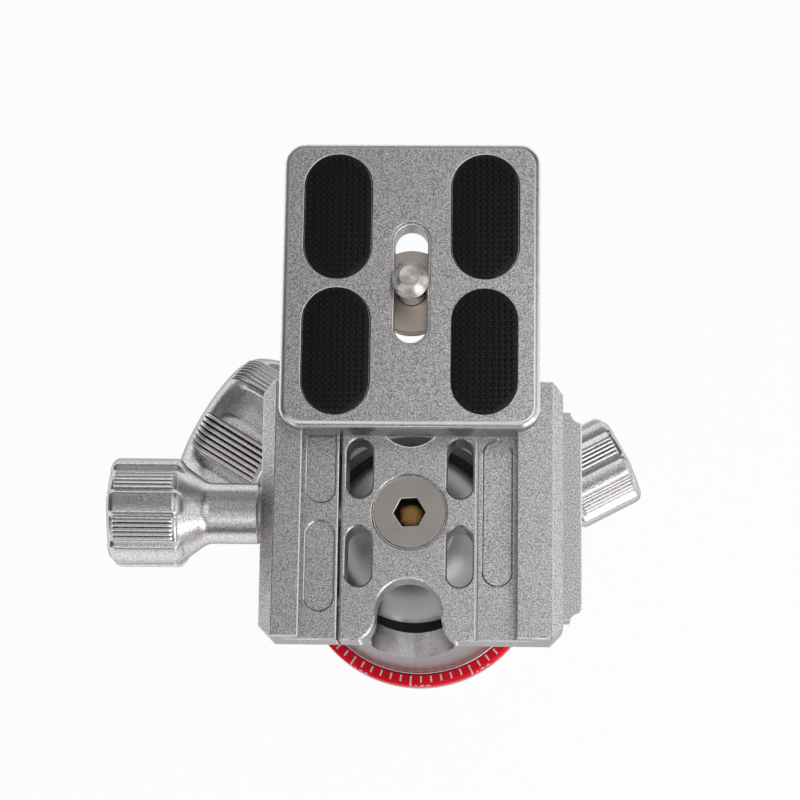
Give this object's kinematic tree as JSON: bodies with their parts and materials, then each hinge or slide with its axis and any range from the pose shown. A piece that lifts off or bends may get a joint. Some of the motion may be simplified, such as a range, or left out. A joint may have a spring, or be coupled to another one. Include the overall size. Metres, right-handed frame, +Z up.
{
  "type": "ball head",
  "caption": "Compact ball head: panning base with a red scale ring, lockable ball in a housing with a drop notch, dovetail clamp with a knob, and a sliding padded camera plate.",
  "frame": {"origin": "mouth of the tripod socket, in the middle of the underside", "axes": "+Z up along the ball axis, +Y to the rear along the dovetail, +X to the right seen from the front, away from the clamp knob"},
  "size_m": [0.096, 0.0878, 0.0895],
  "materials": {
    "silver": "fine blasted and anodised",
    "ball_metal": "smooth satin",
    "red": "red anodised, white scale",
    "black": "smooth",
    "rubber": "fine bumps",
    "steel": "turned",
    "nickel": "nickel plated",
    "brass": "turned"
  },
  "bodies": {
    "base": {"base_plate": "silver", "scale_ring": "red", "pan_washer": "black", "pan_bolt": "steel", "thrust_washer": "steel"},
    "housing": {"housing": "silver", "ball_liner": "black", "seat_block": "brass", "lock_bush": "brass", "pan_bush": "brass"},
    "ball_pad": {"ball_pad": "black"},
    "ball": {"ball": "ball_metal"},
    "clamp": {"clamp_base": "silver", "clamp_screw": "steel", "guide_pins": "steel"},
    "jaw": {"jaw": "silver", "knob_washer": "steel"},
    "clamp_knob": {"clamp_knob": "silver", "clamp_stud": "steel"},
    "plate": {"plate": "silver", "plate_pads": "rubber"},
    "screw_washer": {"screw_washer": "nickel"},
    "camera_screw": {"camera_screw": "nickel"},
    "lock_shoe": {"lock_shoe": "brass"},
    "lock_knob": {"lock_knob": "silver", "lock_stud": "steel"},
    "pan_shoe": {"pan_shoe": "brass"},
    "pan_knob": {"pan_knob": "silver", "pan_stud": "steel"}
  },
  "joints": [
    {"name": "pan_turn", "type": "hinge", "parent": "base", "child": "housing", "pos_m": [0, 0, 0], "axis": [0, 0, 1], "continuous": true},
    {"name": "ball_roll", "type": "hinge", "parent": "housing", "child": "ball_pad", "pos_m": [0, 0, 0.044], "axis": [0, -1, 0], "range_deg": [-15, 15]},
    {"name": "ball_tilt", "type": "hinge", "parent": "ball_pad", "child": "ball", "pos_m": [0, 0, 0.044], "axis": [1, 0, 0], "range_deg": [-30, 90]},
    {"name": "clamp_turn", "type": "hinge", "parent": "ball", "child": "clamp", "pos_m": [0, 0, 0.044], "axis": [0, 0, 1], "continuous": true},
    {"name": "jaw_slide", "type": "slide", "parent": "clamp", "child": "jaw", "axis": [-1, 0, 0], "range_m": [0, 0.0035]},
    {"name": "clamp_knob_turn", "type": "hinge", "parent": "jaw", "child": "clamp_knob", "pos_m": [-0.04, 0, 0.0711], "axis": [-1, 0, 0], "range_deg": [0, 1800]},
    {"name": "plate_slide", "type": "slide", "parent": "clamp", "child": "plate", "axis": [0, 1, 0], "range_m": [-0.0382, 0.0085]},
    {"name": "screw_slide", "type": "slide", "parent": "plate", "child": "screw_washer", "axis": [0, 1, 0], "range_m": [-0.0072, 0.0072]},
    {"name": "screw_turn", "type": "hinge", "parent": "screw_washer", "child": "camera_screw", "pos_m": [0, 0.0382, 0.08], "axis": [0, 0, 1], "continuous": true},
    {"name": "lock_slide", "type": "slide", "parent": "housing", "child": "lock_shoe", "axis": [-0.8572, 0.515, 0], "range_m": [0, 0.0009375]},
    {"name": "lock_knob_turn", "type": "hinge", "parent": "lock_shoe", "child": "lock_knob", "pos_m": [-0.02571, 0.01545, 0.0375], "axis": [-0.8572, 0.515, 0], "range_deg": [0, 270]},
    {"name": "pan_slide", "type": "slide", "parent": "housing", "child": "pan_shoe", "axis": [0.8862, 0.4633, 0], "range_m": [0, 0.00075]},
    {"name": "pan_knob_turn", "type": "hinge", "parent": "pan_shoe", "child": "pan_knob", "pos_m": [0.02659, 0.0139, 0.0146], "axis": [0.8862, 0.4633, 0], "range_deg": [0, 270]}
  ],
  "couplings": [
    {"joint": "clamp_knob_turn", "follows": "jaw_slide", "rad_per_m": 8976},
    {"joint": "lock_knob_turn", "follows": "lock_slide", "rad_per_m": 5026.5},
    {"joint": "pan_knob_turn", "follows": "pan_slide", "rad_per_m": 6283.2}
  ]
}
